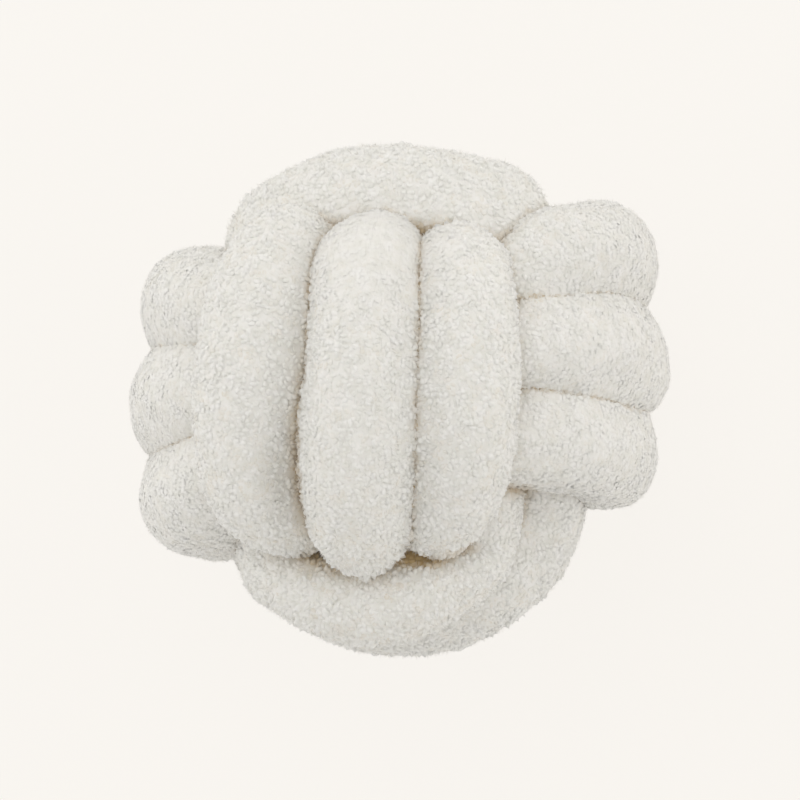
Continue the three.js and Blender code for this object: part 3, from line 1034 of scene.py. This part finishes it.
    def _stood(
        self, spots: Spots, master: np.ndarray, clump: np.ndarray, rng: np.random.Generator
    ) -> np.ndarray:
        """Bends, sizes and turns a copy of the master loop for each spot.

        Args:
            spots: Where the loops stand.
            master: The master loop's vertices.
            clump: How far each loop stands up with those round it.
            rng: The source of chance.

        Returns:
            The vertices of every loop, loop by loop.
        """
        count = len(clump)
        share = self._height_at(spots.place)[:, None]
        long = rng.uniform(*self.length, count)[:, None]
        wide = rng.uniform(*self.width, count)[:, None]
        high = rng.uniform(*self.height, count)[:, None] * share
        top = high + clump[:, None] * self.clump_height * share
        top = np.maximum(top, self.lowest * high)
        curl = rng.normal(0, self.curl, count)[:, None]
        lean = rng.normal(0, self.lean, (2, count, 1))
        ragged = 1 + rng.normal(0, self.ragged, (count, len(master)))
        x, y, z = (master[None, :, k] for k in range(3))
        local_x = x * long * ragged + lean[0] * high * z
        local_y = (y * ragged + curl * (x**2 - self.curl_middle)) * wide + lean[1] * high * z
        local_z = z * ragged * top - self.sunk * high
        along = unit(np.cross(spots.normal, rng.normal(size=(count, 3))))
        across = np.cross(spots.normal, along)
        return (
            spots.place[:, None, :]
            + local_x[:, :, None] * along[:, None, :]
            + local_y[:, :, None] * across[:, None, :]
            + local_z[:, :, None] * spots.normal[:, None, :]
        )

    def _blades(self, spots: Spots, rng: np.random.Generator) -> np.ndarray:
        """Models the loose fibres, each one a thin blade that leans over the loops.

        Args:
            spots: Where the fibres start.
            rng: The source of chance.

        Returns:
            The three corners of every blade.
        """
        count = len(spots.place)
        flat = unit(np.cross(spots.normal, rng.normal(size=(count, 3))))
        share = self._height_at(spots.place)[:, None]
        rise = rng.uniform(*self.fibre_rise, count)[:, None] * share
        along = unit(flat + spots.normal * rise)
        across = unit(np.cross(along, spots.normal))
        long = rng.uniform(*self.fibre_length, count)[:, None]
        foot = spots.place + spots.normal * self.fibre_start * share
        half = across * self.fibre_width / 2
        return np.stack([foot - half, foot + half, foot + along * long], 1)

    def _joined(
        self,
        name: str,
        parts: np.ndarray,
        faces: np.ndarray,
        painted_shade: np.ndarray,
        normals: np.ndarray,
        evenness: np.ndarray,
    ) -> bpy.types.Object:
        """Joins loops or fibres into one piece.

        Args:
            name: Of the piece.
            parts: The vertices of each loop or fibre.
            faces: The triangles of one of them.
            painted_shade: The painted crease shade of each vertex of each one.
            normals: The way that the cloth under each one faces.
            evenness: How far each one is shaded as that cloth is.

        Returns:
            The piece, dressed and riding with the tube.
        """
        count, size = parts.shape[:2]
        parts[:, :, 2] = np.maximum(parts[:, :, 2], LOW[2] + self.crushed)
        corners = (faces[None] + np.arange(count)[:, None, None] * size).reshape(-1, 3)
        mesh = bpy.data.meshes.new(name)
        mesh.vertices.add(count * size)
        mesh.vertices.foreach_set("co", parts.ravel())
        mesh.loops.add(len(corners) * 3)
        mesh.loops.foreach_set("vertex_index", corners.ravel())
        mesh.polygons.add(len(corners))
        mesh.polygons.foreach_set("loop_start", np.arange(len(corners)) * 3)
        mesh.update(calc_edges=True)
        # painted crease shade, for the material to mix in
        layer = mesh.attributes.new(SHADE_LAYER, "FLOAT", "POINT")
        layer.data.foreach_set("value", np.clip(painted_shade, 0, 1).ravel())
        mesh.materials.append(self.finish.material())
        piece = bpy.data.objects.new(name, mesh)
        bpy.context.scene.collection.objects.link(piece)
        select_only(piece)
        bpy.ops.object.shade_smooth()
        share = np.repeat(evenness, size)[:, None]
        shading = normals_of(mesh) * (1 - share) + np.repeat(normals, size, axis=0) * share
        mesh.normals_split_custom_set_from_vertices(unit(shading).tolist())
        piece.visible_shadow = False  # light passes through loose pile
        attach(piece, "root")
        return piece


# ---- Floor, light and camera ----


@dataclass(frozen=True)
class Lamp:
    """A large soft lamp that points at the cushion."""

    name: str
    place: tuple[float, float, float]
    power: float
    size: float


LAMPS = (
    Lamp("upper", (-0.2, 1.3, 1.5), 4.7, 1.6),
    Lamp("right", (1.6, 0.3, 0.9), 4.3, 1.2),
    Lamp("left", (-1.6, 0.3, 0.9), 4.2, 1.2),
    Lamp("front", (0.0, 0.6, 2.0), 1.5, 1.0),
)


@dataclass
class Studio:
    """A plain cream floor, soft light from all round and a camera above the cushion's face."""

    floor_half: float = 8.0
    tilt: float = 12.0  # degrees that the camera leans off the upright, towards +X
    distance: float = 1.5
    lens: float = 131.0
    aim: tuple[float, float] = (0.0013, 0.0017)  # off the ball's middle, to the right and up
    sky: tuple[float, float, float] = (1.0, 0.995, 0.98)
    sky_strength: float = 0.73
    lamps: tuple[Lamp, ...] = LAMPS

    def build(self) -> None:
        """Makes the floor, the lights and the camera."""
        self._floor()
        self._lights()
        self._camera()
        bpy.context.scene.view_settings.view_transform = "Standard"
        bpy.context.scene.view_settings.look = "None"

    def _floor(self) -> None:
        """Lays the floor."""
        bpy.ops.object.select_all(action="DESELECT")
        bpy.ops.mesh.primitive_plane_add(size=self.floor_half * 2, location=(0, 0, 0))
        floor = bpy.context.object
        floor.name = "floor"
        floor.data.materials.append(PaperFinish().material())

    def _lights(self) -> None:
        """Lights the room evenly, with a few large soft lamps round the cushion."""
        world = bpy.data.worlds.new("room")
        bpy.context.scene.world = world
        world.use_nodes = True
        sky = world.node_tree.nodes["Background"]
        sky.inputs["Color"].default_value = (*self.sky, 1)
        sky.inputs["Strength"].default_value = self.sky_strength
        for row in self.lamps:
            light = bpy.data.lights.new(row.name, "AREA")
            light.energy = row.power
            light.size = row.size
            lamp = bpy.data.objects.new(row.name, light)
            bpy.context.scene.collection.objects.link(lamp)
            lamp.location = row.place
            way = Vector(MIDDLE) - Vector(row.place)
            lamp.rotation_euler = way.to_track_quat("-Z", "Y").to_euler()

    def _camera(self) -> None:
        """Sets the camera above the face, with the cushion's upper end up."""
        tilt = math.radians(self.tilt)
        back = Vector((math.sin(tilt), 0, math.cos(tilt)))
        right = Vector((math.cos(tilt), 0, -math.sin(tilt)))
        up = Vector((0, 1, 0))
        aim = Vector(MIDDLE) + right * self.aim[0] + up * self.aim[1]
        lens = bpy.data.cameras.new("camera")
        lens.lens = self.lens
        camera = bpy.data.objects.new("camera", lens)
        bpy.context.scene.collection.objects.link(camera)
        turn = Matrix((right, up, back)).transposed()
        camera.matrix_world = Matrix.Translation(aim + back * self.distance) @ turn.to_4x4()
        bpy.context.scene.camera = camera


def main() -> None:
    """Builds the cushion and the studio."""
    fleece = FleeceFinish(FLEECE_SLOT)
    tube = KnottedTube(fleece).build()
    log.info("%s: %d faces", tube.name, len(tube.data.polygons))
    LoopedPile(tube, fleece).build()
    Studio().build()


if __name__ == "__main__":
    main()
